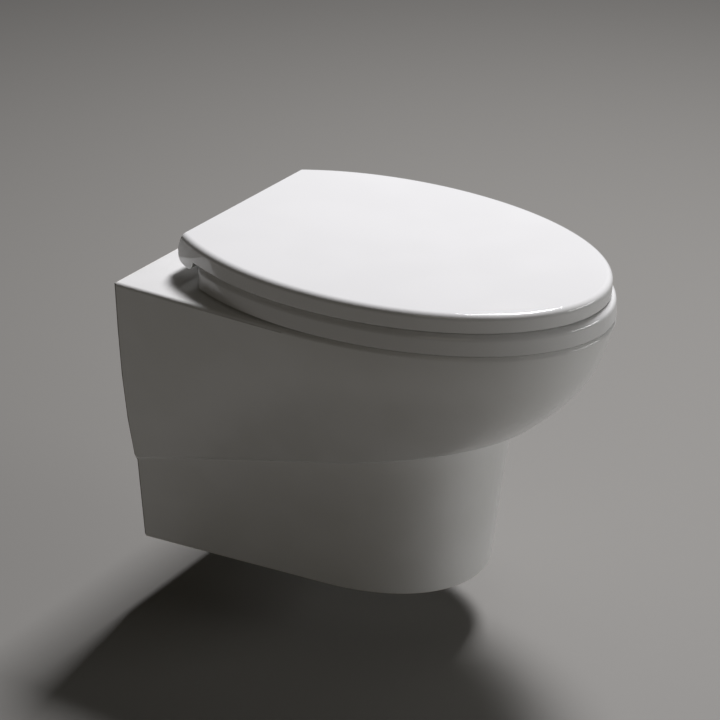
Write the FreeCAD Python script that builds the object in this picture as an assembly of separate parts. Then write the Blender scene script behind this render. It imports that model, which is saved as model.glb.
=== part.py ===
"""Wall hung toilet: china pan, seat ring and lid on two soft-close hinges.

Millimetres. The drawing frame has its origin on the pan's rear face at the level of the
deck top: +Z up, +X to the sitter's left, -Y out into the room. Every piece is then
shifted so that the origin lies midway between the two wall fixings on the finished
wall, which is the plane Y = 0.
"""
import FreeCAD, Part
import math
import os

V = FreeCAD.Vector
ROOM = 700.0  # larger than the toilet in every direction
OVERCUT = 20.0  # how far a cutter runs past the face it opens

# ---- outside of the pan -------------------------------------------------------------
DECK_Z = 80.0  # deck top above the wall fixings
PAD_T = 2.5  # insulating pad between pan and wall
PAN_H = 350.0  # deck top to underside
REAR_HALF_W = 180.0  # half width of the deck at the wall
REAR_LOSS = (4.6, 17.4)  # half width lost at the wall, at crease depth: linear, cubic
SIDE_STATION = 222.0  # distance from the wall where the side loss is given
SIDE_LOSS = 39.6  # half width lost there at the side depth
SIDE_DEPTH = 185.0
SIDE_POWER = 1.64
RIM_REACH = 531.8  # rim tip from the pan's rear face
NOSE_DEPTH = 150.0
NOSE_LOSS = (39.0, 67.3)  # reach lost at nose depth: linear, cubic
NOSE_END = 190.0  # deepest point of the nose; only straight sides go deeper
DECK_STRAIGHT = 230.0  # length of the deck's straight sides
STRAIGHT_GAIN = 20.0  # how much longer they are at nose depth
UPPER_FULLNESS = 0.56  # handle length of the front arcs; an ellipse has 0.5523
FULLNESS_GAIN = 0.09  # how much fuller they are at nose depth
UPPER_DEPTHS = (0.0, 30.0, 60.0, 90.0, 120.0, 150.0, 180.0, 210.0, 245.0)
CREASE_DEPTH = 240.2  # underside of the upper body, at the wall
CREASE_SLOPE = 0.24  # rise of that underside per millimetre into the room
LOWER_HALF_W = 147.5  # lower body at the wall, at the underside
LOWER_DRAFT = 0.07
LOWER_TAPER = 0.113
LOWER_REACH = 384.2
LOWER_GROWTH = (21.9, 1.8)  # extra reach at growth height: linear, square
GROWTH_HEIGHT = 200.0
LOWER_STRAIGHT = 242.0
LOWER_FULLNESS = 0.625
LOWER_HEIGHTS = (0.0, 60.0, 120.0, 180.0, 240.0)
RIM_EDGE_R = 4.5
LIP_R = 9.0
FOOT_EDGE_R = 1.2

# ---- inside of the pan --------------------------------------------------------------
SHELL_T = 12.0
DECK_T = 14.0
REAR_T = 16.0
# Oval sections: depth, middle from the wall, half width, reach to front, reach to rear.
RIM_OPENING = (314.0, 128.0, 163.0, 162.0)
RIM_LIP_DEPTH = 28.0
RIM_LIP_W = 24.0  # width of the thick china round the opening
RIM_OPENING_R = 7.0
BOWL_SECTIONS = (
    (28.0, 312.0, 142.0, 177.0, 172.0),
    (60.0, 310.0, 140.0, 172.0, 166.0),
    (100.0, 304.0, 128.0, 156.0, 150.0),
    (140.0, 294.0, 105.0, 124.0, 120.0),
    (180.0, 282.0, 77.0, 88.0, 88.0),
    (215.0, 271.0, 52.0, 56.0, 56.0),
    (240.0, 262.0, 36.0, 36.0, 36.0),
)
BOWL_T = 10.0
BOWL_GAP = 0.3  # between the bowl and the shell's curved walls; it hangs from the deck
BOWL_REAR = -BOWL_SECTIONS[1][1] + BOWL_SECTIONS[1][3]  # rearmost point of the bowl
TRAP_R = 35.0
TRAP_T = 9.0
TRAP_BEND_R = 46.0
TRAP_RISE = math.radians(60.0)  # slope of the rising leg
TRAP_LEAD = 8.0  # straight run into the throat
THROAT_Y = -262.0
THROAT_Z = -243.0
WEIR_Z = -168.0  # centreline of the trap at its weir
WEIR_END_Y = -70.0
OUTLET_START_Y = -92.0  # where the straight outlet takes over from the trap
OUTLET_Z = -180.0
OUTLET_R = 45.0
OUTLET_L = 80.0  # how far the wide outlet bore runs in from the wall
SPIGOT_R = 51.0
SPIGOT_L = 60.0
SPIGOT_ROOT_R = 55.0  # thicker china where the trap meets the spigot
SPIGOT_ROOT_L = 30.0
COLLAR_R = 68.0  # room for the waste connector round the spigot
INLET_Z = -45.0
INLET_R = 27.5
INLET_L = 45.0
DUCT_R = 16.0
DUCT_T = 9.0
FIXING_X = 90.0
FIXING_HOLE_R = 11.0
FIXING_BOSS_R = 20.0
FIXING_BOSS_L = 32.0
SLEEVE_R = 10.8
SLEEVE_BORE_R = 6.5
SLEEVE_FLANGE_R = 16.0
SLEEVE_FLANGE_T = 3.0
PAD_INSET = 1.5
PAD_UPPER_DEPTHS = (1.5, 60.0, 120.0, 180.0, 232.0)
PAD_LOWER_HEIGHTS = (108.0, 1.5)

# ---- seat and lid -------------------------------------------------------------------
HINGE_X = 77.5  # half the 155 mm spacing of the seat fixings
HINGE_Y = -54.0
HINGE_Z = 30.0
CLOSED_FALL = math.radians(0.24)  # fall of the seat's top and the closed lid to the front
SEAT_GAP = 2.0
SEAT_T = 24.4  # thickness under the hinge line
SEAT_OVAL = (250.0, 177.5, 281.0, 275.5)
SEAT_REAR_EDGE = -84.0
SEAT_CORNER_R = 20.0
SEAT_HOLE = (317.0, 110.0, 145.0, 140.0)
SEAT_HOLE_R = 9.0
SEAT_DRAFT = 2.0  # how far its outline draws in from the underside to the top
SEAT_TOP_R = 7.0
SEAT_BOTTOM_R = 1.0
SEAT_RECESS = 8.0
SEAT_RIM_W = 9.0
SEAT_FALL = 3.0  # more than its top falls to the front
SEAT_ARM_DROP = 1.0  # how far the arms start below the ring's top
SEAT_ARM_Y = -96.0
LID_GAP = 1.5
LID_T = 24.6  # thickness at the hinge line
LID_WEDGE = math.radians(0.48)  # further fall of the lid's top
LID_OVAL = (247.0, 175.0, 277.0, 273.5)
LID_TOP_REAR = -54.5  # rear edge of the top
LID_REAR_EDGE = -40.0  # rearmost line of the heel
LID_CORNER_R = 8.0
LID_TOP_R = 7.0
LID_REAR_R = 1.2
LID_BOTTOM_R = 2.0
LID_ROOF_Z = 41.0  # underside of the lid's panel
LID_RIM_W = 10.0
LID_NOTCH_FRONT = -74.0
HEEL_BOTTOM_Z = 16.0  # the lid's sides drop to this height behind the seat
HEEL_FRONT_Y = -66.0  # middle of the heel's front rounding
HEEL_FRONT_R = 14.0
HEEL_REAR_R = 11.5
BUFFER_R = 8.0
BUFFER_GAP = 0.1
SEAT_BUFFERS = {"front": (80.0, -455.0), "rear": (145.0, -235.0)}
LID_BUFFER = (48.0, -488.0)

# ---- hinges -------------------------------------------------------------------------
KNUCKLE_R = 8.5
BUSH_R = 5.5
BUSH_FLANGE_R = 7.5
BUSH_FLANGE_T = 1.2
PIN_R = 3.0
RUNNING_GAP = 0.05
SEAT_KNUCKLE = (42.0, 66.5)  # distances from the toilet's middle, along the axis
PILLAR_HEAD = (68.0, 85.0)
LID_KNUCKLE = (86.5, 104.5)
PIN_SPAN = (43.5, 102.5)
KNUCKLE_END_T = 1.0
STEM_X = (70.0, 85.0)
STEM_FRONT = -75.0
STEM_REAR = -63.5
STEM_SHOULDER_Z = 21.0
STEM_TOP_Z = 18.0
STUD_Y = (STEM_FRONT + STEM_REAR) / 2
GASKET_R = 18.5
GASKET_T = 1.2
ROSE_Y = -62.0
ROSE_R = 20.0
ROSE_TOP = 3.0
ROSE_CHAMFER = 0.6
BASE_R = 15.0
BASE_TOP = 5.0
GRUB_R = 2.0
GRUB_SINK = 0.6  # how far its end lies below the surface of the head
GRUB_SOCKET_AF = 2.0
GRUB_SOCKET_L = 2.0
STUD_R = 3.0
STUD_TOP = 12.0
STUD_END = -60.0
STUD_CLEAR_R = 3.2
DECK_HOLE_R = 7.0
CONE_NOSE_R = 6.6
CONE_NOSE_L = 8.0
CONE_R = 12.0
CONE_END_R = 9.0
CONE_H = 16.0
WASHER_R = 11.0
WASHER_T = 1.6
NUT_R = 7.0
NUT_H = 9.0
WING_SPAN = 15.0
WING_T = 3.0
WING_TOP = 2.0  # below the top of the nut
WING_END = 12.0


# ---- helpers ------------------------------------------------------------------------
def bar(radius, start, end):
    """A round bar between two points."""
    axis = end - start
    return Part.makeCylinder(radius, axis.Length, start, axis)


def block(x0, x1, y0, y1, z0, z1):
    return Part.makeBox(x1 - x0, y1 - y0, z1 - z0, V(x0, y0, z0))


def quarter(start, corner, end, fullness=0.5523):
    """A quarter oval from start to end, tangent to the lines that meet at corner."""
    curve = Part.BezierCurve()
    leaving = start + (corner - start) * fullness
    arriving = end + (corner - end) * fullness
    curve.setPoles([start, leaving, arriving, end])
    return curve.toShape()


def oval(section, z, grow=0.0):
    """A closed egg outline at height z, grown outwards all round."""
    middle, half_w, front, rear = section
    half_w += grow
    nose_y = -middle - front - grow
    heel_y = -middle + rear + grow
    left, nose = V(half_w, -middle, z), V(0, nose_y, z)
    right, heel = V(-half_w, -middle, z), V(0, heel_y, z)
    return Part.Wire([
        quarter(left, V(half_w, nose_y, z), nose),
        quarter(nose, V(-half_w, nose_y, z), right),
        quarter(right, V(-half_w, heel_y, z), heel),
        quarter(heel, V(half_w, heel_y, z), left),
    ])


def slab(wire, height):
    return Part.Face(wire).extrude(V(0, 0, height))


def side_profile(points, x0, x1):
    """A solid with a straight-sided profile in the Y-Z plane, from x0 to x1."""
    outline = [V(x0, y, z) for y, z in points]
    return Part.Face(Part.makePolygon(outline + outline[:1])).extrude(V(x1 - x0, 0, 0))


def behind(y):
    """All the room on the wall side of y."""
    return block(-ROOM, ROOM, y, ROOM, -ROOM, ROOM)


def above(z):
    return block(-ROOM, ROOM, -ROOM, ROOM, z, ROOM)


def above_fall(z, fall):
    """All the room above a plane that falls to the front from height z at the hinge line."""
    rise = ROOM * math.tan(fall)
    points = [(HINGE_Y - ROOM, z - rise), (HINGE_Y + ROOM, z + rise)]
    return side_profile(points + [(ROOM, ROOM), (-ROOM, ROOM)], -ROOM, ROOM)


def top_edges(solid):
    """The edges of the highest face."""
    return max(solid.Faces, key=lambda face: face.CenterOfMass.z).Edges


def edges_within(solid, x=(-ROOM, ROOM), y=(-ROOM, ROOM), z=(-ROOM, ROOM)):
    """The edges that lie wholly inside the given spans, to a hundredth of a millimetre."""
    slack = 0.01
    found = []
    for edge in solid.Edges:
        box = edge.BoundBox
        spans = ((box.XMin, box.XMax, x), (box.YMin, box.YMax, y), (box.ZMin, box.ZMax, z))
        if all(low > span[0] - slack and high < span[1] + slack for low, high, span in spans):
            found.append(edge)
    return found


def level_edges(solid, z):
    """The edges that lie in the level plane z."""
    return edges_within(solid, z=(z, z))


def in_front_of_wall(edges):
    """Leave out the edges that lie against the wall."""
    return [edge for edge in edges if edge.BoundBox.YMin < -1]


def rising_edges(solid, y):
    """The upright or nearly upright edges that stand at y."""
    boxes = [(edge, edge.BoundBox) for edge in edges_within(solid, y=(y, y))]
    return [edge for edge, box in boxes if box.XLength < box.ZLength]


# ---- the pan ------------------------------------------------------------------------
def pan_outline(rear_w, taper, straight, reach, fullness, z):
    """A level outline: straight sides from behind the wall face, then a full nose."""
    distances = (-OVERCUT, straight, reach)
    left = [V(rear_w - taper * distance, -distance, z) for distance in distances]
    right = [V(-corner.x, corner.y, z) for corner in left]
    tip = V(0, -reach, z)
    return Part.Wire([
        Part.makeLine(right[0], left[0]),
        Part.makeLine(left[0], left[1]),
        quarter(left[1], left[2], tip, fullness),
        quarter(tip, right[2], right[1], fullness),
        Part.makeLine(right[1], right[0]),
    ])


def upper_rear_w(depth):
    at_crease = depth / CREASE_DEPTH
    return REAR_HALF_W - REAR_LOSS[0] * at_crease - REAR_LOSS[1] * at_crease**3


def lower_rear_w(height):
    return LOWER_HALF_W + LOWER_DRAFT * height


def upper_outline(depth, inset):
    rear_w = upper_rear_w(depth)
    side_w = REAR_HALF_W - SIDE_LOSS * (depth / SIDE_DEPTH) ** SIDE_POWER
    at_nose = min(depth, NOSE_END) / NOSE_DEPTH
    reach = RIM_REACH - NOSE_LOSS[0] * at_nose - NOSE_LOSS[1] * at_nose**3
    straight = DECK_STRAIGHT + STRAIGHT_GAIN * at_nose
    fullness = UPPER_FULLNESS + FULLNESS_GAIN * at_nose
    taper = (rear_w - side_w) / SIDE_STATION
    return pan_outline(rear_w - inset, taper, straight, reach - inset, fullness, -depth)


def lower_outline(height, inset):
    rear_w = lower_rear_w(height)
    grown = height / GROWTH_HEIGHT
    growth = LOWER_GROWTH[0] * grown + LOWER_GROWTH[1] * grown**2
    straight = LOWER_STRAIGHT + growth / 2
    reach = LOWER_REACH + growth - inset
    return pan_outline(rear_w - inset, LOWER_TAPER, straight, reach, LOWER_FULLNESS, height - PAN_H)


def below_crease(raise_by):
    """Everything under the sloping underside of the upper body."""
    wall_z = raise_by - CREASE_DEPTH
    fall = CREASE_SLOPE * ROOM
    points = [(ROOM, wall_z - fall), (-ROOM, wall_z + fall), (-ROOM, -ROOM), (ROOM, -ROOM)]
    return side_profile(points, -ROOM, ROOM)


def pan_body():
    """The outside of the pan, solid."""
    upper = Part.makeLoft([upper_outline(depth, 0) for depth in UPPER_DEPTHS], True)
    upper = upper.cut([behind(0), below_crease(0)])
    upper = upper.makeFillet(RIM_EDGE_R, in_front_of_wall(level_edges(upper, 0)))
    underside = min(upper.Faces, key=lambda face: face.CenterOfMass.z)
    upper = upper.makeFillet(LIP_R, in_front_of_wall(underside.Edges))
    lower = Part.makeLoft([lower_outline(height, 0) for height in LOWER_HEIGHTS], True)
    lower = lower.cut(behind(0))
    lower = lower.makeFillet(FOOT_EDGE_R, in_front_of_wall(level_edges(lower, -PAN_H)))
    return upper.fuse(lower)


def pan_hollow(rear_y, inset=SHELL_T):
    """The inside of the outer walls as far back as rear_y."""
    upper = Part.makeLoft([upper_outline(depth, inset) for depth in UPPER_DEPTHS], True)
    upper = upper.cut([below_crease(inset), above(-DECK_T)])
    heights = (-OVERCUT,) + LOWER_HEIGHTS
    lower = Part.makeLoft([lower_outline(height, inset) for height in heights], True)
    return upper.fuse(lower).cut(behind(rear_y))


def basin(grow):
    """The bowl's hollow below the rim lip, or the same grown by the china's thickness."""
    sections = [oval(section[1:], -section[0], grow) for section in BOWL_SECTIONS]
    return Part.makeLoft(sections, True)


def body_with_mouth():
    """The solid outside with the rim opening sunk into it and its upper edge rounded."""
    mouth = slab(oval(RIM_OPENING, -RIM_LIP_DEPTH - 1), RIM_LIP_DEPTH + OVERCUT)
    body = pan_body().cut(mouth)
    half_w = RIM_OPENING[1]
    return body.makeFillet(RIM_OPENING_R, edges_within(body, x=(-half_w, half_w), z=(0, 0)))


def on_bend(centre, angle):
    """A point on a trap bend, by its angle from the bend's lowest point towards the wall."""
    return centre + V(0, math.sin(angle), -math.cos(angle)) * TRAP_BEND_R


def trap_pipe(radius):
    """A pipe down from the throat, round the sump, up over the weir and back to the outlet."""
    sump = V(0, THROAT_Y + TRAP_BEND_R, THROAT_Z)
    throat, sump_low, leg_foot = (on_bend(sump, a) for a in (-math.pi / 2, 0, TRAP_RISE))
    crown_z = WEIR_Z - TRAP_BEND_R
    rise = crown_z + TRAP_BEND_R * math.cos(TRAP_RISE) - leg_foot.z
    leg_head = leg_foot + V(0, rise / math.tan(TRAP_RISE), rise)
    crown = V(0, leg_head.y + TRAP_BEND_R * math.sin(TRAP_RISE), crown_z)
    crown_in, crown_top = (on_bend(crown, math.pi + a) for a in (TRAP_RISE / 2, 0))
    mouth = throat + V(0, 0, TRAP_LEAD)
    path = Part.Wire([
        Part.makeLine(mouth, throat),
        Part.Arc(throat, sump_low, leg_foot).toShape(),
        Part.makeLine(leg_foot, leg_head),
        Part.Arc(leg_head, crown_in, crown_top).toShape(),
        Part.makeLine(crown_top, V(0, WEIR_END_Y, WEIR_Z)),
    ])
    ring = Part.Wire([Part.makeCircle(radius, mouth, V(0, 0, 1))])
    return path.makePipeShell([ring], True, False)


def along_wall(radius, x, z, from_y, to_y):
    """A round bar square to the wall."""
    return bar(radius, V(x, from_y, z), V(x, to_y, z))


def rim_lip():
    """The thick china round the mouth, down to below the lip."""
    depth = RIM_LIP_DEPTH + BOWL_T
    return slab(oval(RIM_OPENING, -depth, RIM_LIP_W), depth)


def inlet_socket():
    """The flush inlet's socket with its closed inner end."""
    return along_wall(INLET_R + DUCT_T, 0, INLET_Z, -INLET_L - DUCT_T, 0)


def flush_bore():
    """The way of the flush water from the wall into the bowl."""
    socket = along_wall(INLET_R, 0, INLET_Z, -INLET_L, OVERCUT)
    return socket.fuse(along_wall(DUCT_R, 0, INLET_Z, BOWL_REAR - OVERCUT, 0))


def pan():
    """The pan's shell: the deck and the outer walls, open below and at the wall."""
    deck_holes = [at_stud(DECK_HOLE_R, side, -DECK_T - OVERCUT, OVERCUT) for side in (1, -1)]
    return body_with_mouth().cut(pan_hollow(OVERCUT / 2)).cut(deck_holes)


def rear_wall():
    """The casting's wall against the room's wall, with the bosses of the wall fixings."""
    wall = pan_hollow(0).common(block(-ROOM, ROOM, -REAR_T, 0, -PAN_H, 0))
    openings = [along_wall(COLLAR_R, 0, OUTLET_Z, -REAR_T - 1, OVERCUT), inlet_socket()]
    for x in (FIXING_X, -FIXING_X):
        wall = wall.fuse(along_wall(FIXING_BOSS_R, x, -DECK_Z, -FIXING_BOSS_L, 0))
        openings.append(along_wall(FIXING_HOLE_R, x, -DECK_Z, -FIXING_BOSS_L - OVERCUT, OVERCUT))
    return wall.cut(openings).removeSplitter()


def bowl():
    """The bowl and the rim's lip, cast on to the shell's inside."""
    mouth = slab(oval(RIM_OPENING, -RIM_LIP_DEPTH - 1), RIM_LIP_DEPTH + 1)
    china = basin(BOWL_T).fuse(rim_lip()).common(pan_hollow(-REAR_T, SHELL_T + BOWL_GAP))
    return china.cut([basin(0), mouth, trap_pipe(TRAP_R), flush_bore()])


def trap():
    """The trap: down from the bowl, round the sump and up to the weir."""
    return trap_pipe(TRAP_R + TRAP_T).cut([basin(BOWL_T), trap_pipe(TRAP_R), behind(OUTLET_START_Y)])


def outlet_spigot():
    """The straight way from the weir to the wall, with the spigot for the drain."""
    china = trap_pipe(TRAP_R + TRAP_T).common(behind(OUTLET_START_Y))
    china = china.fuse([
        along_wall(SPIGOT_ROOT_R, 0, OUTLET_Z, -SPIGOT_L - SPIGOT_ROOT_L, -SPIGOT_L),
        along_wall(SPIGOT_R, 0, OUTLET_Z, -SPIGOT_L - 1, 0),
    ])
    outlet = along_wall(OUTLET_R, 0, OUTLET_Z, -OUTLET_L, OVERCUT)
    return china.cut([trap_pipe(TRAP_R), outlet])


def flush_inlet():
    """The inlet socket and the duct that carries the flush water to the bowl."""
    duct = along_wall(DUCT_R + DUCT_T, 0, INLET_Z, BOWL_REAR, 0)
    china = inlet_socket().fuse(duct).cut(above(-DECK_T))
    return china.cut([basin(BOWL_T), rim_lip(), flush_bore()])


def wall_pad():
    """The insulating pad: the outline of the pan's rear face, drawn in a little."""
    outline = [(upper_rear_w(depth) - PAD_INSET, -depth) for depth in PAD_UPPER_DEPTHS]
    outline += [(lower_rear_w(height) - PAD_INSET, height - PAN_H) for height in PAD_LOWER_HEIGHTS]
    outline += [(-x, z) for x, z in reversed(outline)]
    corners = [V(x, 0, z) for x, z in outline]
    pad = Part.Face(Part.makePolygon(corners + corners[:1])).extrude(V(0, PAD_T, 0))
    holes = [
        (COLLAR_R, 0, OUTLET_Z),
        (INLET_R + DUCT_T, 0, INLET_Z),
        (FIXING_HOLE_R, FIXING_X, -DECK_Z),
        (FIXING_HOLE_R, -FIXING_X, -DECK_Z),
    ]
    return pad.cut([along_wall(radius, x, z, -OVERCUT, OVERCUT) for radius, x, z in holes])


def fixing_sleeve(side):
    """A plastic sleeve that centres the wall's M12 stud in the china."""
    x = side * FIXING_X
    body = along_wall(SLEEVE_R, x, -DECK_Z, -FIXING_BOSS_L, PAD_T)
    flange = along_wall(SLEEVE_FLANGE_R, x, -DECK_Z, -FIXING_BOSS_L - SLEEVE_FLANGE_T, -FIXING_BOSS_L)
    bore = along_wall(SLEEVE_BORE_R, x, -DECK_Z, -FIXING_BOSS_L - OVERCUT, OVERCUT)
    return body.fuse(flange).cut(bore).removeSplitter()


# ---- seat and lid -------------------------------------------------------------------
def on_axis(radius, span, side):
    """A round bar along the hinge axis, between two distances from the middle."""
    return bar(radius, V(side * span[0], HINGE_Y, HINGE_Z), V(side * span[1], HINGE_Y, HINGE_Z))


def cut_rear(plate, rear_edge, corner_r):
    """Give an egg-shaped plate a straight rear edge and rounded rear corners."""
    plate = plate.cut(behind(rear_edge))
    return plate.makeFillet(corner_r, rising_edges(plate, rear_edge))


def across(side, span):
    """The two distances of a span as x values, lowest first."""
    return sorted((side * span[0], side * span[1]))


def seat_ring():
    top = SEAT_GAP + SEAT_T
    half_w = SEAT_HOLE[1]
    outlines = [oval(SEAT_OVAL, SEAT_GAP), oval(SEAT_OVAL, top, -SEAT_DRAFT)]
    ring = cut_rear(Part.makeLoft(outlines, True), SEAT_REAR_EDGE, SEAT_CORNER_R)
    ring = ring.cut(above_fall(top, CLOSED_FALL))
    ring = ring.makeFillet(SEAT_TOP_R, top_edges(ring))
    ring = ring.makeFillet(SEAT_BOTTOM_R, level_edges(ring, SEAT_GAP))
    ring = ring.cut(slab(oval(SEAT_HOLE, 0), ROOM))
    ring = ring.makeFillet(SEAT_HOLE_R, edges_within(ring, x=(-half_w, half_w), z=(top - SEAT_FALL, top)))
    recess_rear = SEAT_REAR_EDGE - SEAT_RIM_W
    recess_top = SEAT_GAP + SEAT_RECESS
    recess = slab(oval(SEAT_OVAL, 0, -SEAT_RIM_W), recess_top)
    recess = cut_rear(recess, recess_rear, SEAT_CORNER_R / 2)
    ring = ring.cut(recess.cut(slab(oval(SEAT_HOLE, 0, SEAT_RIM_W), ROOM)))
    arm = [
        (HINGE_Y, HINGE_Z + KNUCKLE_R),
        (SEAT_ARM_Y, top - SEAT_ARM_DROP),
        (SEAT_ARM_Y, SEAT_GAP + SEAT_RECESS),
        (HINGE_Y, HINGE_Z - KNUCKLE_R),
    ]
    inner, outer = SEAT_KNUCKLE
    for side in (1, -1):
        arm_solid = side_profile(arm, *across(side, SEAT_KNUCKLE))
        ring = ring.fuse([arm_solid, on_axis(KNUCKLE_R, SEAT_KNUCKLE, side)])
        ring = ring.cut(on_axis(BUSH_R, (inner + KNUCKLE_END_T, outer), side))
    return ring.removeSplitter()


def closed(shape):
    """Let a piece of the lid down on the seat, about the hinge line."""
    shape = shape.copy()
    shape.rotate(V(0, HINGE_Y, HINGE_Z), V(1, 0, 0), math.degrees(CLOSED_FALL))
    return shape


def below_lid(bottom):
    """All the room under the lid: level under its rim, lower behind the seat, round at the heel."""
    heel = block(-ROOM, ROOM, HEEL_FRONT_Y, LID_REAR_EDGE - HEEL_REAR_R, HEEL_BOTTOM_Z, bottom)
    roundings = [
        (HEEL_FRONT_R, HEEL_FRONT_Y, HEEL_BOTTOM_Z + HEEL_FRONT_R),
        (HEEL_REAR_R, LID_REAR_EDGE - HEEL_REAR_R, HEEL_BOTTOM_Z + HEEL_REAR_R),
    ]
    heel = heel.fuse([bar(r, V(-ROOM, y, z), V(ROOM, y, z)) for r, y, z in roundings])
    heel = heel.fuse(block(-ROOM, ROOM, HEEL_FRONT_Y, LID_REAR_EDGE, roundings[1][2], bottom))
    return block(-ROOM, ROOM, -ROOM, 0, -OVERCUT, bottom).cut(heel)


def behind_lid(top):
    """All the room behind the lid's rear face, which leans forward above the heel."""
    heel_z = HEEL_BOTTOM_Z + HEEL_REAR_R
    lean = (LID_REAR_EDGE - LID_TOP_REAR) / (top - heel_z)
    high_y = LID_TOP_REAR - lean * OVERCUT
    return side_profile(
        [(LID_REAR_EDGE, heel_z), (high_y, top + OVERCUT), (ROOM, top + OVERCUT), (ROOM, heel_z)],
        -ROOM, ROOM,
    )


def lid():
    bottom = SEAT_GAP + SEAT_T + LID_GAP
    top = bottom + LID_T
    height = top - HEEL_BOTTOM_Z
    shell = cut_rear(slab(oval(LID_OVAL, HEEL_BOTTOM_Z), height), LID_REAR_EDGE, LID_CORNER_R)
    shell = shell.cut([below_lid(bottom), behind_lid(top), above_fall(top, LID_WEDGE)])
    sides = [edge for edge in top_edges(shell) if edge.BoundBox.YLength > 1]
    shell = shell.makeFillet(LID_TOP_R, sides)
    rear = [edge for edge in top_edges(shell) if edge.BoundBox.YLength < 1]
    shell = shell.makeFillet(LID_REAR_R, rear)
    rim = [edge for edge in level_edges(shell, bottom) if edge.BoundBox.YLength > 1]
    shell = shell.makeFillet(LID_BOTTOM_R, rim)
    recess_rear = LID_TOP_REAR - LID_RIM_W
    recess = slab(oval(LID_OVAL, 0, -LID_RIM_W), LID_ROOF_Z)
    recess = cut_rear(recess, recess_rear, LID_CORNER_R)
    inner, outer = LID_KNUCKLE
    notch = block(-inner, inner, LID_NOTCH_FRONT, 0, 0, LID_ROOF_Z)
    bores = [on_axis(BUSH_R, (inner, outer - KNUCKLE_END_T), side) for side in (1, -1)]
    return closed(shell.cut([recess, notch] + bores).removeSplitter())


def seat_buffer(side, place):
    x, y = place
    foot = V(side * x, y, BUFFER_GAP)
    return bar(BUFFER_R, foot, V(side * x, y, SEAT_GAP + SEAT_RECESS))


def lid_buffer(side):
    x, y = LID_BUFFER
    foot = V(side * x, y, SEAT_GAP + SEAT_T + BUFFER_GAP)
    return closed(bar(BUFFER_R, foot, V(side * x, y, LID_ROOF_Z)))


# ---- hinges -------------------------------------------------------------------------
def at_stud(radius, side, z0, z1):
    """A round bar on the line of a seat fixing."""
    return bar(radius, V(side * HINGE_X, STUD_Y, z0), V(side * HINGE_X, STUD_Y, z1))


def at_rose(radius, side, z0, z1):
    """A round bar on the middle of a cover plate."""
    return bar(radius, V(side * HINGE_X, ROSE_Y, z0), V(side * HINGE_X, ROSE_Y, z1))


def grub_point(side, y):
    return V(side * sum(PILLAR_HEAD) / 2, y, HINGE_Z)


def pillar(side):
    """A cast post, cranked so that the open lid passes behind its stem."""
    stem = [
        (STEM_FRONT, ROSE_TOP),
        (STEM_REAR, ROSE_TOP),
        (STEM_REAR, STEM_SHOULDER_Z),
        (HINGE_Y, HINGE_Z),
        (HINGE_Y - KNUCKLE_R, HINGE_Z),
        (STEM_FRONT, STEM_TOP_Z),
    ]
    post = side_profile(stem, *across(side, STEM_X))
    post = post.fuse([on_axis(KNUCKLE_R, PILLAR_HEAD, side), at_rose(BASE_R, side, ROSE_TOP, BASE_TOP)])
    holes = [
        on_axis(PIN_R, PIN_SPAN, side),
        bar(GRUB_R, grub_point(side, HINGE_Y), grub_point(side, HINGE_Y + OVERCUT)),
        at_stud(STUD_R, side, 0, STUD_TOP),
    ]
    return post.cut(holes).removeSplitter()


def hinge_pin(side):
    return on_axis(PIN_R, PIN_SPAN, side)


def hexagon_bar(across_flats, start, end):
    """A six-sided bar square to the wall."""
    radius = across_flats / math.sqrt(3)
    angles = [math.radians(60 * i) for i in range(6)]
    corners = [start + V(math.cos(angle), 0, math.sin(angle)) * radius for angle in angles]
    return Part.Face(Part.makePolygon(corners + corners[:1])).extrude(end - start)


def grub_screw(side):
    """The socket screw that holds the pin in the pillar's head."""
    end_y = HINGE_Y + KNUCKLE_R - GRUB_SINK
    screw = bar(GRUB_R, grub_point(side, HINGE_Y + PIN_R), grub_point(side, end_y))
    socket_start, socket_end = grub_point(side, end_y - GRUB_SOCKET_L), grub_point(side, end_y + 1)
    return screw.cut(hexagon_bar(GRUB_SOCKET_AF, socket_start, socket_end))


def damper(side, can_span, flange_span):
    """A soft-close cartridge: a bush round the pin with a flange towards the pillar."""
    can = on_axis(BUSH_R, can_span, side)
    flange = on_axis(BUSH_FLANGE_R, flange_span, side)
    return can.fuse(flange).cut(on_axis(PIN_R + RUNNING_GAP, (0, ROOM), side)).removeSplitter()


def seat_damper(side):
    inner, outer = SEAT_KNUCKLE
    return damper(side, (inner + KNUCKLE_END_T, outer), (outer, outer + BUSH_FLANGE_T))


def lid_damper(side):
    inner, outer = LID_KNUCKLE
    return damper(side, (inner, outer - KNUCKLE_END_T), (inner - BUSH_FLANGE_T, inner))


def rose(side):
    """The round cover plate under the pillar."""
    plate = at_rose(ROSE_R, side, GASKET_T, ROSE_TOP)
    plate = plate.makeChamfer(ROSE_CHAMFER, level_edges(plate, ROSE_TOP))
    return plate.cut(at_stud(STUD_CLEAR_R, side, 0, OVERCUT))


def rose_gasket(side):
    return at_rose(GASKET_R, side, 0, GASKET_T).cut(at_stud(STUD_CLEAR_R, side, -1, OVERCUT))


def stud(side):
    return at_stud(STUD_R, side, STUD_END, STUD_TOP)


def cone_bush(side):
    """The rubber bush that centres the stud in the deck hole and grips the china from below."""
    nose = at_stud(CONE_NOSE_R, side, -DECK_T, -DECK_T + CONE_NOSE_L)
    top = V(side * HINGE_X, STUD_Y, -DECK_T)
    cone = Part.makeCone(CONE_R, CONE_END_R, CONE_H, top, V(0, 0, -1))
    return nose.fuse(cone).cut(at_stud(STUD_CLEAR_R, side, STUD_END, 0)).removeSplitter()


def washer(side):
    top = -DECK_T - CONE_H
    return at_stud(WASHER_R, side, top - WASHER_T, top).cut(at_stud(STUD_CLEAR_R, side, STUD_END, 0))


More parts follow.
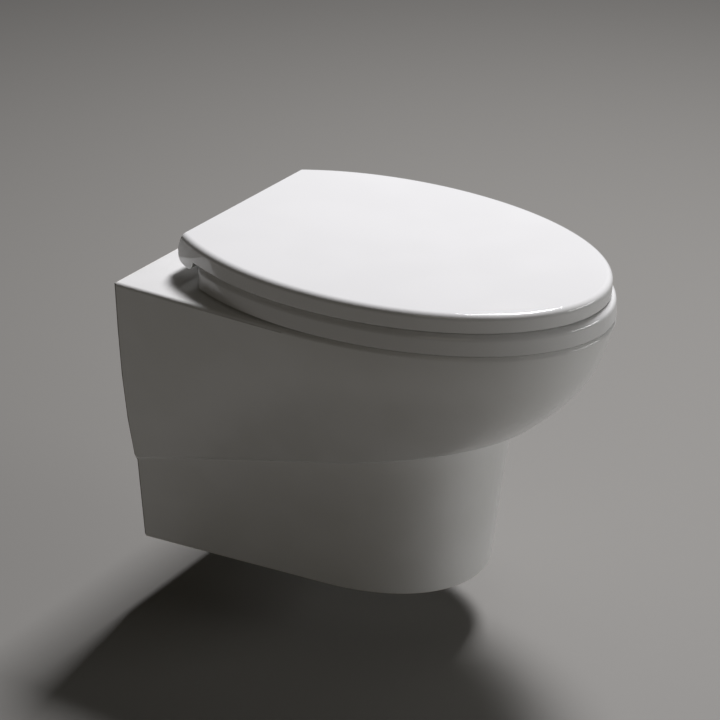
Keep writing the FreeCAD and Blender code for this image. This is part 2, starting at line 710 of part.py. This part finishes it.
def wing_nut(side):
    top = -DECK_T - CONE_H - WASHER_T
    x, y = side * HINGE_X, STUD_Y
    hub = at_stud(NUT_R, side, top - NUT_H, top)
    wings = block(
        x - WING_SPAN, x + WING_SPAN, y - WING_T / 2, y + WING_T / 2, top - WING_END, top - WING_TOP
    )
    return hub.fuse(wings).cut(at_stud(STUD_R, side, STUD_END, 0)).removeSplitter()


# ---- writing the pieces -------------------------------------------------------------
def save(name, shape):
    """Shift a piece from the drawing frame to the part's frame and write it."""
    shape = shape.copy()
    shape.translate(V(0, -PAD_T, DECK_Z))
    volume = round(shape.Volume / 1000, 2)
    print(name, "solids", len(shape.Solids), "valid", shape.isValid(), "cm3", volume)
    shape.exportStep("parts/" + name + ".step")


os.makedirs("parts", exist_ok=True)
save("pan", pan())
save("rear_wall", rear_wall())
save("bowl", bowl())
save("trap", trap())
save("outlet_spigot", outlet_spigot())
save("flush_inlet", flush_inlet())
save("wall_pad", wall_pad())
save("seat_ring", seat_ring())
save("lid", lid())
PAIRED = {
    "fixing_sleeve": fixing_sleeve,
    "lid_buffer": lid_buffer,
    "hinge_pillar": pillar,
    "hinge_pin": hinge_pin,
    "grub_screw": grub_screw,
    "seat_damper": seat_damper,
    "lid_damper": lid_damper,
    "hinge_rose": rose,
    "rose_gasket": rose_gasket,
    "seat_stud": stud,
    "cone_bush": cone_bush,
    "stud_washer": washer,
    "wing_nut": wing_nut,
}
for hand, side in (("left", 1), ("right", -1)):
    for name, make in PAIRED.items():
        save(name + "_" + hand, make(side))
    for end, place in SEAT_BUFFERS.items():
        save("seat_buffer_" + end + "_" + hand, seat_buffer(side, place))
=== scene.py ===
"""A wall hung toilet in glazed china, with a gloss seat ring and lid on chrome hinges.

Metres, in the frame's own axes: +Z up, +Y towards the back, -Y towards the front.
Every piece shows its CAD solid. This script gives finishes, floor, lights and view.
"""
import math
import bpy
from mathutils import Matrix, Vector


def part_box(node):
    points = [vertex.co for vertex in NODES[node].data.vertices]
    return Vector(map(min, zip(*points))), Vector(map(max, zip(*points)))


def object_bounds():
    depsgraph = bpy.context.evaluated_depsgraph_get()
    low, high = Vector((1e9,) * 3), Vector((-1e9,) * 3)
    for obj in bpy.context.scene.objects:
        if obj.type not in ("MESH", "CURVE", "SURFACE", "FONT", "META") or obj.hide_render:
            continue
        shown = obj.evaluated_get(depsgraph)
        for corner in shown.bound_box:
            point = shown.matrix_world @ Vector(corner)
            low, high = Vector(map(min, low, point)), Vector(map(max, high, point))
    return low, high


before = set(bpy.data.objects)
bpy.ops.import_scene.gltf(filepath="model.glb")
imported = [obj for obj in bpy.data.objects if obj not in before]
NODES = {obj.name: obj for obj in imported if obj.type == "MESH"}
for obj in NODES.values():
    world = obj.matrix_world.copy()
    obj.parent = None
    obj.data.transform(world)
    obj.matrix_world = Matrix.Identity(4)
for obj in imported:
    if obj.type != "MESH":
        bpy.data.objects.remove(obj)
cad_low, cad_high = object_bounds()

# ---- the photograph's view ------------------------------------------------------------
IMAGE_W = 720                      # pixels, square frame
FOCAL_PX = 2185.0                  # pixels
SENSOR_W = 36.0                    # millimetres
CAMERA_PLACE = Vector((-1.9384, -1.4670, 1.0944))
CAMERA_AZIMUTH = math.radians(-57.2)
CAMERA_ELEVATION = math.radians(26.09)

# ---- studio ---------------------------------------------------------------------------
PAN_MIDDLE = Vector((0.0, -0.27, 0.0))     # what the lights face
LIGHTS = (                                 # name, place, size, watts, colour
    ("key", (1.45, -0.08, 2.75), (0.85, 0.75), 108.0, (1.0, 0.99, 1.02)),
    ("front_strip", (0.85, -2.35, 0.42), (1.4, 0.3), 11.0, (1.0, 1.0, 1.0)),
    ("side_fill", (-2.4, -1.2, 1.4), (1.0, 1.0), 1.8, (1.0, 0.90, 0.72)),
)
SKY_COLOUR = (1.0, 0.94, 0.84)
SKY_STRENGTH = 0.02
DECK_Z = 0.080                     # the china's flat top
DECK_HEIGHT = 0.433                # a usual height of the deck above the floor
FLOOR_Z = DECK_Z - DECK_HEIGHT
FLOOR_SIDE = 14.0
FLOOR_MIDDLE = (1.5, 1.5)
FLOOR_COLOUR = (0.275, 0.268, 0.252)
FLOOR_ROUGHNESS = 0.6

# ---- what the finishes share ----------------------------------------------------------
OPAQUE = 1.0
THICK_SKIN = (0.35, 0.65)          # wave heights between which the skin turns thick
SMEAR_MASK = (0.42, 0.72)          # noise values between which a mark appears
HAIRLINE_MASK = (0.60, 0.75)
HAIRLINE_TILT = (0.3, 0.2, 0.7)
HAIRLINE_STRETCH = (1.0, 0.06, 1.0)

# ---- glaze ----------------------------------------------------------------------------
THIN_GLAZE = (0.86, 0.86, 0.845)
THICK_GLAZE = (0.885, 0.885, 0.875)
GLAZE_ROUGHNESS = (0.045, 0.085)   # wiped clean, smeared
GLAZE_RIPPLE = 0.00035
GLAZE_IOR = 1.52
BISCUIT = (0.80, 0.77, 0.71)       # fired clay without glaze
BISCUIT_ROUGHNESS = 0.8
GLAZE_END_SCALE = 60.0
GLAZE_END_WANDER = 0.0012          # how far the glaze's edge strays
BARE_FOOT_BLEND = 0.0008
BARE_BACK_BLEND = (0.0003, 0.0004)   # before the back face, behind it

# ---- plastic, rubber and metal --------------------------------------------------------
PLASTIC_SMEARED = 0.05             # roughness that smears and hairlines add
PLASTIC_RIPPLE = 0.00025
PLASTIC_IOR = 1.55
MATT_GRAIN_MASK = (0.2, 0.8)
MATT_SPREAD = 0.06                 # roughness to either side of the middle
METAL_SMEARED = 1.8                # a smear's roughness, times the clean metal's
METAL_DULLED = 0.93                # a smear's brightness, times the clean metal's


def set_up(thing, place, direction):
    """Puts a camera or a light in the scene, level from side to side."""
    thing.location = place
    thing.rotation_mode = "QUATERNION"
    thing.rotation_quaternion = direction.to_track_quat("-Z", "Y")
    bpy.context.scene.collection.objects.link(thing)


def make_camera():
    """Looks the way the photograph does."""
    camera = bpy.data.objects.new("view_camera", bpy.data.cameras.new("view_camera"))
    camera.data.sensor_width = SENSOR_W
    camera.data.lens = FOCAL_PX / IMAGE_W * SENSOR_W
    back = Vector((
        math.sin(CAMERA_AZIMUTH) * math.cos(CAMERA_ELEVATION),
        -math.cos(CAMERA_AZIMUTH) * math.cos(CAMERA_ELEVATION),
        math.sin(CAMERA_ELEVATION),
    ))
    set_up(camera, CAMERA_PLACE, -back)
    bpy.context.scene.camera = camera


def make_lights():
    """Soft rectangular lights that face the pan, and a faint warm sky."""
    for name, place, size, watts, colour in LIGHTS:
        light = bpy.data.lights.new(name, "AREA")
        light.shape = "RECTANGLE"
        light.size, light.size_y = size
        light.energy = watts
        light.color = colour
        set_up(bpy.data.objects.new(name, light), place, PAN_MIDDLE - Vector(place))
    world = bpy.data.worlds.new("studio")
    world.use_nodes = True
    sky = world.node_tree.nodes["Background"]
    sky.inputs["Color"].default_value = (*SKY_COLOUR, OPAQUE)
    sky.inputs["Strength"].default_value = SKY_STRENGTH
    bpy.context.scene.world = world
    bpy.context.scene.view_settings.view_transform = "Standard"


def make_floor():
    """A plain pale floor. Most of it lies where the photograph's view looks."""
    bpy.ops.object.select_all(action="DESELECT")
    bpy.ops.mesh.primitive_plane_add(size=FLOOR_SIDE, location=(*FLOOR_MIDDLE, FLOOR_Z))
    floor = bpy.context.object
    floor.name = "floor"
    material, _, shader = new_material("pale_floor")
    shader.inputs["Base Color"].default_value = (*FLOOR_COLOUR, OPAQUE)
    shader.inputs["Roughness"].default_value = FLOOR_ROUGHNESS
    floor.data.materials.append(material)


# ---- shader helpers -------------------------------------------------------------------
def new_material(name):
    """A material, its node tree and its surface shader."""
    material = bpy.data.materials.new(name)
    material.use_nodes = True
    return material, material.node_tree, material.node_tree.nodes["Principled BSDF"]


def new_group(name, inputs, outputs):
    """A shader node group of plain numbers: its inputs have defaults, its outputs names."""
    tree = bpy.data.node_groups.new(name, "ShaderNodeTree")
    for label, default in inputs.items():
        socket = tree.interface.new_socket(
            label, in_out="INPUT", socket_type="NodeSocketFloat")
        socket.default_value = default
    for label in outputs:
        tree.interface.new_socket(label, in_out="OUTPUT", socket_type="NodeSocketFloat")
    return tree, tree.nodes.new("NodeGroupInput"), tree.nodes.new("NodeGroupOutput")


def place_group(tree, group, **values):
    """Puts a group into a material with its own values, Wave_Scale for Wave Scale."""
    node = tree.nodes.new("ShaderNodeGroup")
    node.node_tree = group
    for label, value in values.items():
        node.inputs[label.replace("_", " ")].default_value = value
    return node


def feed(tree, socket, value):
    """Links another node's output to the socket, or sets a colour or a number on it."""
    if isinstance(value, bpy.types.NodeSocket):
        tree.links.new(value, socket)
    elif isinstance(value, tuple):
        socket.default_value = (*value, OPAQUE)
    else:
        socket.default_value = value


def math_node(tree, operation, first, second):
    """The result of one operation on two values."""
    node = tree.nodes.new("ShaderNodeMath")
    node.operation = operation
    for socket, value in zip(node.inputs, (first, second)):
        feed(tree, socket, value)
    return node.outputs[0]


def ramp(tree, value, limits, ends=(0.0, 1.0)):
    """Maps value from between the limits to between the ends, smoothly and clamped."""
    node = tree.nodes.new("ShaderNodeMapRange")
    node.interpolation_type = "SMOOTHSTEP"
    tree.links.new(value, node.inputs["Value"])
    for label, number in zip(("From Min", "From Max", "To Min", "To Max"), (*limits, *ends)):
        node.inputs[label].default_value = number
    return node.outputs[0]


def mix_colours(tree, mask, first, second):
    """The first colour where the mask is 0, the second where it is 1."""
    node = tree.nodes.new("ShaderNodeMix")
    node.data_type = "RGBA"
    tree.links.new(mask, node.inputs["Factor"])
    feed(tree, node.inputs["A"], first)
    feed(tree, node.inputs["B"], second)
    return node.outputs["Result"]


def noise(tree, place, scale, detail, roughness=0.5):
    """Soft noise from 0 to 1 in space."""
    node = tree.nodes.new("ShaderNodeTexNoise")
    node.inputs["Detail"].default_value = detail
    node.inputs["Roughness"].default_value = roughness
    feed(tree, node.inputs["Scale"], scale)
    tree.links.new(place, node.inputs["Vector"])
    return node.outputs["Fac"]


def object_place(tree):
    """The place on the piece, in metres."""
    return tree.nodes.new("ShaderNodeTexCoord").outputs["Object"]


def bump(tree, height, distance):
    """The normal of a surface on which a height of 1 stands proud by the distance."""
    node = tree.nodes.new("ShaderNodeBump")
    node.inputs["Distance"].default_value = distance
    tree.links.new(height, node.inputs["Height"])
    return node.outputs["Normal"]


# ---- shared effects -------------------------------------------------------------------
def soft_ripple_group():
    """The slow waviness of a poured or moulded gloss surface, and where it lies thick."""
    tree, given, result = new_group(
        "soft_ripple",
        {"Wave Scale": 18.0, "Skin Scale": 240.0, "Skin Share": 0.2},
        ("Height", "Thickness"),
    )
    place = object_place(tree)
    waves = noise(tree, place, given.outputs["Wave Scale"], detail=1.0)
    skin = noise(tree, place, given.outputs["Skin Scale"], detail=2.0)
    fine = math_node(tree, "MULTIPLY", skin, given.outputs["Skin Share"])
    tree.links.new(math_node(tree, "ADD", waves, fine), result.inputs["Height"])
    tree.links.new(ramp(tree, waves, THICK_SKIN), result.inputs["Thickness"])
    return tree


def wiped_marks_group():
    """Faint smears and hairlines that cleaning leaves on a surface."""
    tree, given, result = new_group(
        "wiped_marks",
        {"Smear Scale": 9.0, "Hairline Scale": 55.0},
        ("Smears", "Hairlines"),
    )
    place = object_place(tree)
    smears = noise(tree, place, given.outputs["Smear Scale"], detail=4.0, roughness=0.62)
    stretch = tree.nodes.new("ShaderNodeMapping")
    stretch.inputs["Rotation"].default_value = HAIRLINE_TILT
    stretch.inputs["Scale"].default_value = HAIRLINE_STRETCH
    tree.links.new(place, stretch.inputs["Vector"])
    lines = noise(tree, stretch.outputs["Vector"], given.outputs["Hairline Scale"],
                  detail=3.0, roughness=0.7)
    tree.links.new(ramp(tree, smears, SMEAR_MASK), result.inputs["Smears"])
    tree.links.new(ramp(tree, lines, HAIRLINE_MASK), result.inputs["Hairlines"])
    return tree


# ---- finishes -------------------------------------------------------------------------
RIPPLE = soft_ripple_group()
MARKS = wiped_marks_group()


def bare_clay(tree):
    """A mask of the foot that stood in the kiln and of the flat back, which get no glaze."""
    place = tree.nodes.new("ShaderNodeSeparateXYZ")
    tree.links.new(object_place(tree), place.inputs[0])
    foot_z, back_y = cad_low.z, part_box("pan")[1].y
    wander = noise(tree, object_place(tree), GLAZE_END_SCALE, detail=3.0)
    edge = math_node(tree, "MULTIPLY", wander, GLAZE_END_WANDER)
    height = math_node(tree, "SUBTRACT", place.outputs["Z"], edge)
    depth = math_node(tree, "ADD", place.outputs["Y"], edge)
    foot = ramp(tree, height, (foot_z, foot_z + BARE_FOOT_BLEND), (1.0, 0.0))
    before, behind = BARE_BACK_BLEND
    back = ramp(tree, depth, (back_y - before, back_y + behind))
    return math_node(tree, "MAXIMUM", foot, back)


def glazed_china():
    """White sanitary ware under a clear gloss glaze."""
    material, tree, shader = new_material("glazed_china")
    ripple = place_group(tree, RIPPLE, Wave_Scale=16.0, Skin_Scale=210.0, Skin_Share=0.10)
    marks = place_group(tree, MARKS, Smear_Scale=7.0)
    bare = bare_clay(tree)
    glaze = mix_colours(tree, ripple.outputs["Thickness"], THIN_GLAZE, THICK_GLAZE)
    gloss = ramp(tree, marks.outputs["Smears"], (0.0, 1.0), GLAZE_ROUGHNESS)
    dull = math_node(tree, "MULTIPLY", bare, BISCUIT_ROUGHNESS)
    rough = math_node(tree, "MAXIMUM", gloss, dull)
    ripples = bump(tree, ripple.outputs["Height"], GLAZE_RIPPLE)
    tree.links.new(mix_colours(tree, bare, glaze, BISCUIT), shader.inputs["Base Color"])
    tree.links.new(rough, shader.inputs["Roughness"])
    tree.links.new(ripples, shader.inputs["Normal"])
    shader.inputs["IOR"].default_value = GLAZE_IOR
    return material


def gloss_plastic(name, thin_colour, thick_colour, roughness):
    """Hard pressed plastic with a polished skin and faint cleaning marks."""
    material, tree, shader = new_material(name)
    ripple = place_group(tree, RIPPLE, Wave_Scale=11.0, Skin_Scale=320.0, Skin_Share=0.06)
    marks = place_group(tree, MARKS, Smear_Scale=8.0, Hairline_Scale=60.0)
    colour = mix_colours(tree, ripple.outputs["Thickness"], thin_colour, thick_colour)
    smears = ramp(tree, marks.outputs["Smears"], (0.0, 1.0),
                  (roughness, roughness + PLASTIC_SMEARED))
    lines = math_node(tree, "MULTIPLY", marks.outputs["Hairlines"], PLASTIC_SMEARED)
    ripples = bump(tree, ripple.outputs["Height"], PLASTIC_RIPPLE)
    tree.links.new(colour, shader.inputs["Base Color"])
    tree.links.new(math_node(tree, "ADD", smears, lines), shader.inputs["Roughness"])
    tree.links.new(ripples, shader.inputs["Normal"])
    shader.inputs["IOR"].default_value = PLASTIC_IOR
    return material


def matt_moulding(name, colour, worn_colour, roughness, grain_scale, grain_depth):
    """Rubber, foam or moulded plastic with a fine dull grain."""
    material, tree, shader = new_material(name)
    marks = place_group(tree, MARKS, Smear_Scale=30.0)
    grain = noise(tree, object_place(tree), grain_scale, detail=3.0, roughness=0.6)
    worn = mix_colours(tree, marks.outputs["Smears"], colour, worn_colour)
    rough = ramp(tree, grain, MATT_GRAIN_MASK, (roughness - MATT_SPREAD, roughness + MATT_SPREAD))
    tree.links.new(worn, shader.inputs["Base Color"])
    tree.links.new(rough, shader.inputs["Roughness"])
    tree.links.new(bump(tree, grain, grain_depth), shader.inputs["Normal"])
    return material


def metal(name, colour, roughness, grain_scale, grain_depth):
    """Plated or plain metal; a long grain shows where it is brushed."""
    material, tree, shader = new_material(name)
    marks = place_group(tree, MARKS, Smear_Scale=60.0, Hairline_Scale=grain_scale)
    smears, hairlines = marks.outputs["Smears"], marks.outputs["Hairlines"]
    dulled = tuple(METAL_DULLED * part for part in colour)
    smeared = ramp(tree, smears, (0.0, 1.0), (roughness, roughness * METAL_SMEARED))
    lines = math_node(tree, "MULTIPLY", hairlines, roughness)
    tree.links.new(math_node(tree, "ADD", smeared, lines), shader.inputs["Roughness"])
    tree.links.new(mix_colours(tree, smears, colour, dulled), shader.inputs["Base Color"])
    tree.links.new(bump(tree, hairlines, grain_depth), shader.inputs["Normal"])
    shader.inputs["Metallic"].default_value = 1.0
    return material


def dress(material, *stems):
    """Gives a finish to each named node, and to the left and right ones of a pair."""
    for name, node in NODES.items():
        if name in stems or name.rpartition("_")[0] in stems:
            node.data.materials.clear()
            node.data.materials.append(material)


def dress_all():
    """Every node gets its finish."""
    dress(glazed_china(),
          "pan", "rear_wall", "bowl", "trap", "outlet_spigot", "flush_inlet")
    dress(gloss_plastic("gloss_lid", (0.88, 0.88, 0.875), (0.895, 0.895, 0.89),
                        roughness=0.07),
          "lid")
    dress(gloss_plastic("gloss_seat", (0.87, 0.87, 0.865), (0.885, 0.885, 0.88),
                        roughness=0.08),
          "seat_ring")
    dress(metal("bright_chrome", (0.82, 0.83, 0.85),
                roughness=0.05, grain_scale=90.0, grain_depth=0.00001),
          "hinge_pillar", "hinge_rose")
    dress(metal("plain_steel", (0.60, 0.60, 0.61),
                roughness=0.26, grain_scale=300.0, grain_depth=0.00003),
          "hinge_pin", "seat_stud", "stud_washer", "grub_screw")
    dress(matt_moulding("pad_foam", (0.30, 0.30, 0.30), (0.36, 0.36, 0.35),
                        roughness=0.85, grain_scale=900.0, grain_depth=0.0002),
          "wall_pad")
    dress(matt_moulding("white_rubber", (0.74, 0.74, 0.72), (0.70, 0.70, 0.67),
                        roughness=0.55, grain_scale=700.0, grain_depth=0.00005),
          "seat_buffer_front", "seat_buffer_rear", "lid_buffer")
    dress(matt_moulding("dark_rubber", (0.035, 0.035, 0.038), (0.06, 0.06, 0.06),
                        roughness=0.6, grain_scale=600.0, grain_depth=0.00005),
          "rose_gasket", "cone_bush")
    dress(matt_moulding("grey_moulding", (0.16, 0.165, 0.175), (0.19, 0.195, 0.20),
                        roughness=0.4, grain_scale=500.0, grain_depth=0.00003),
          "seat_damper", "lid_damper")
    dress(matt_moulding("white_moulding", (0.78, 0.78, 0.77), (0.74, 0.74, 0.72),
                        roughness=0.4, grain_scale=500.0, grain_depth=0.00003),
          "fixing_sleeve", "wing_nut")


make_camera()
make_lights()
make_floor()
dress_all()
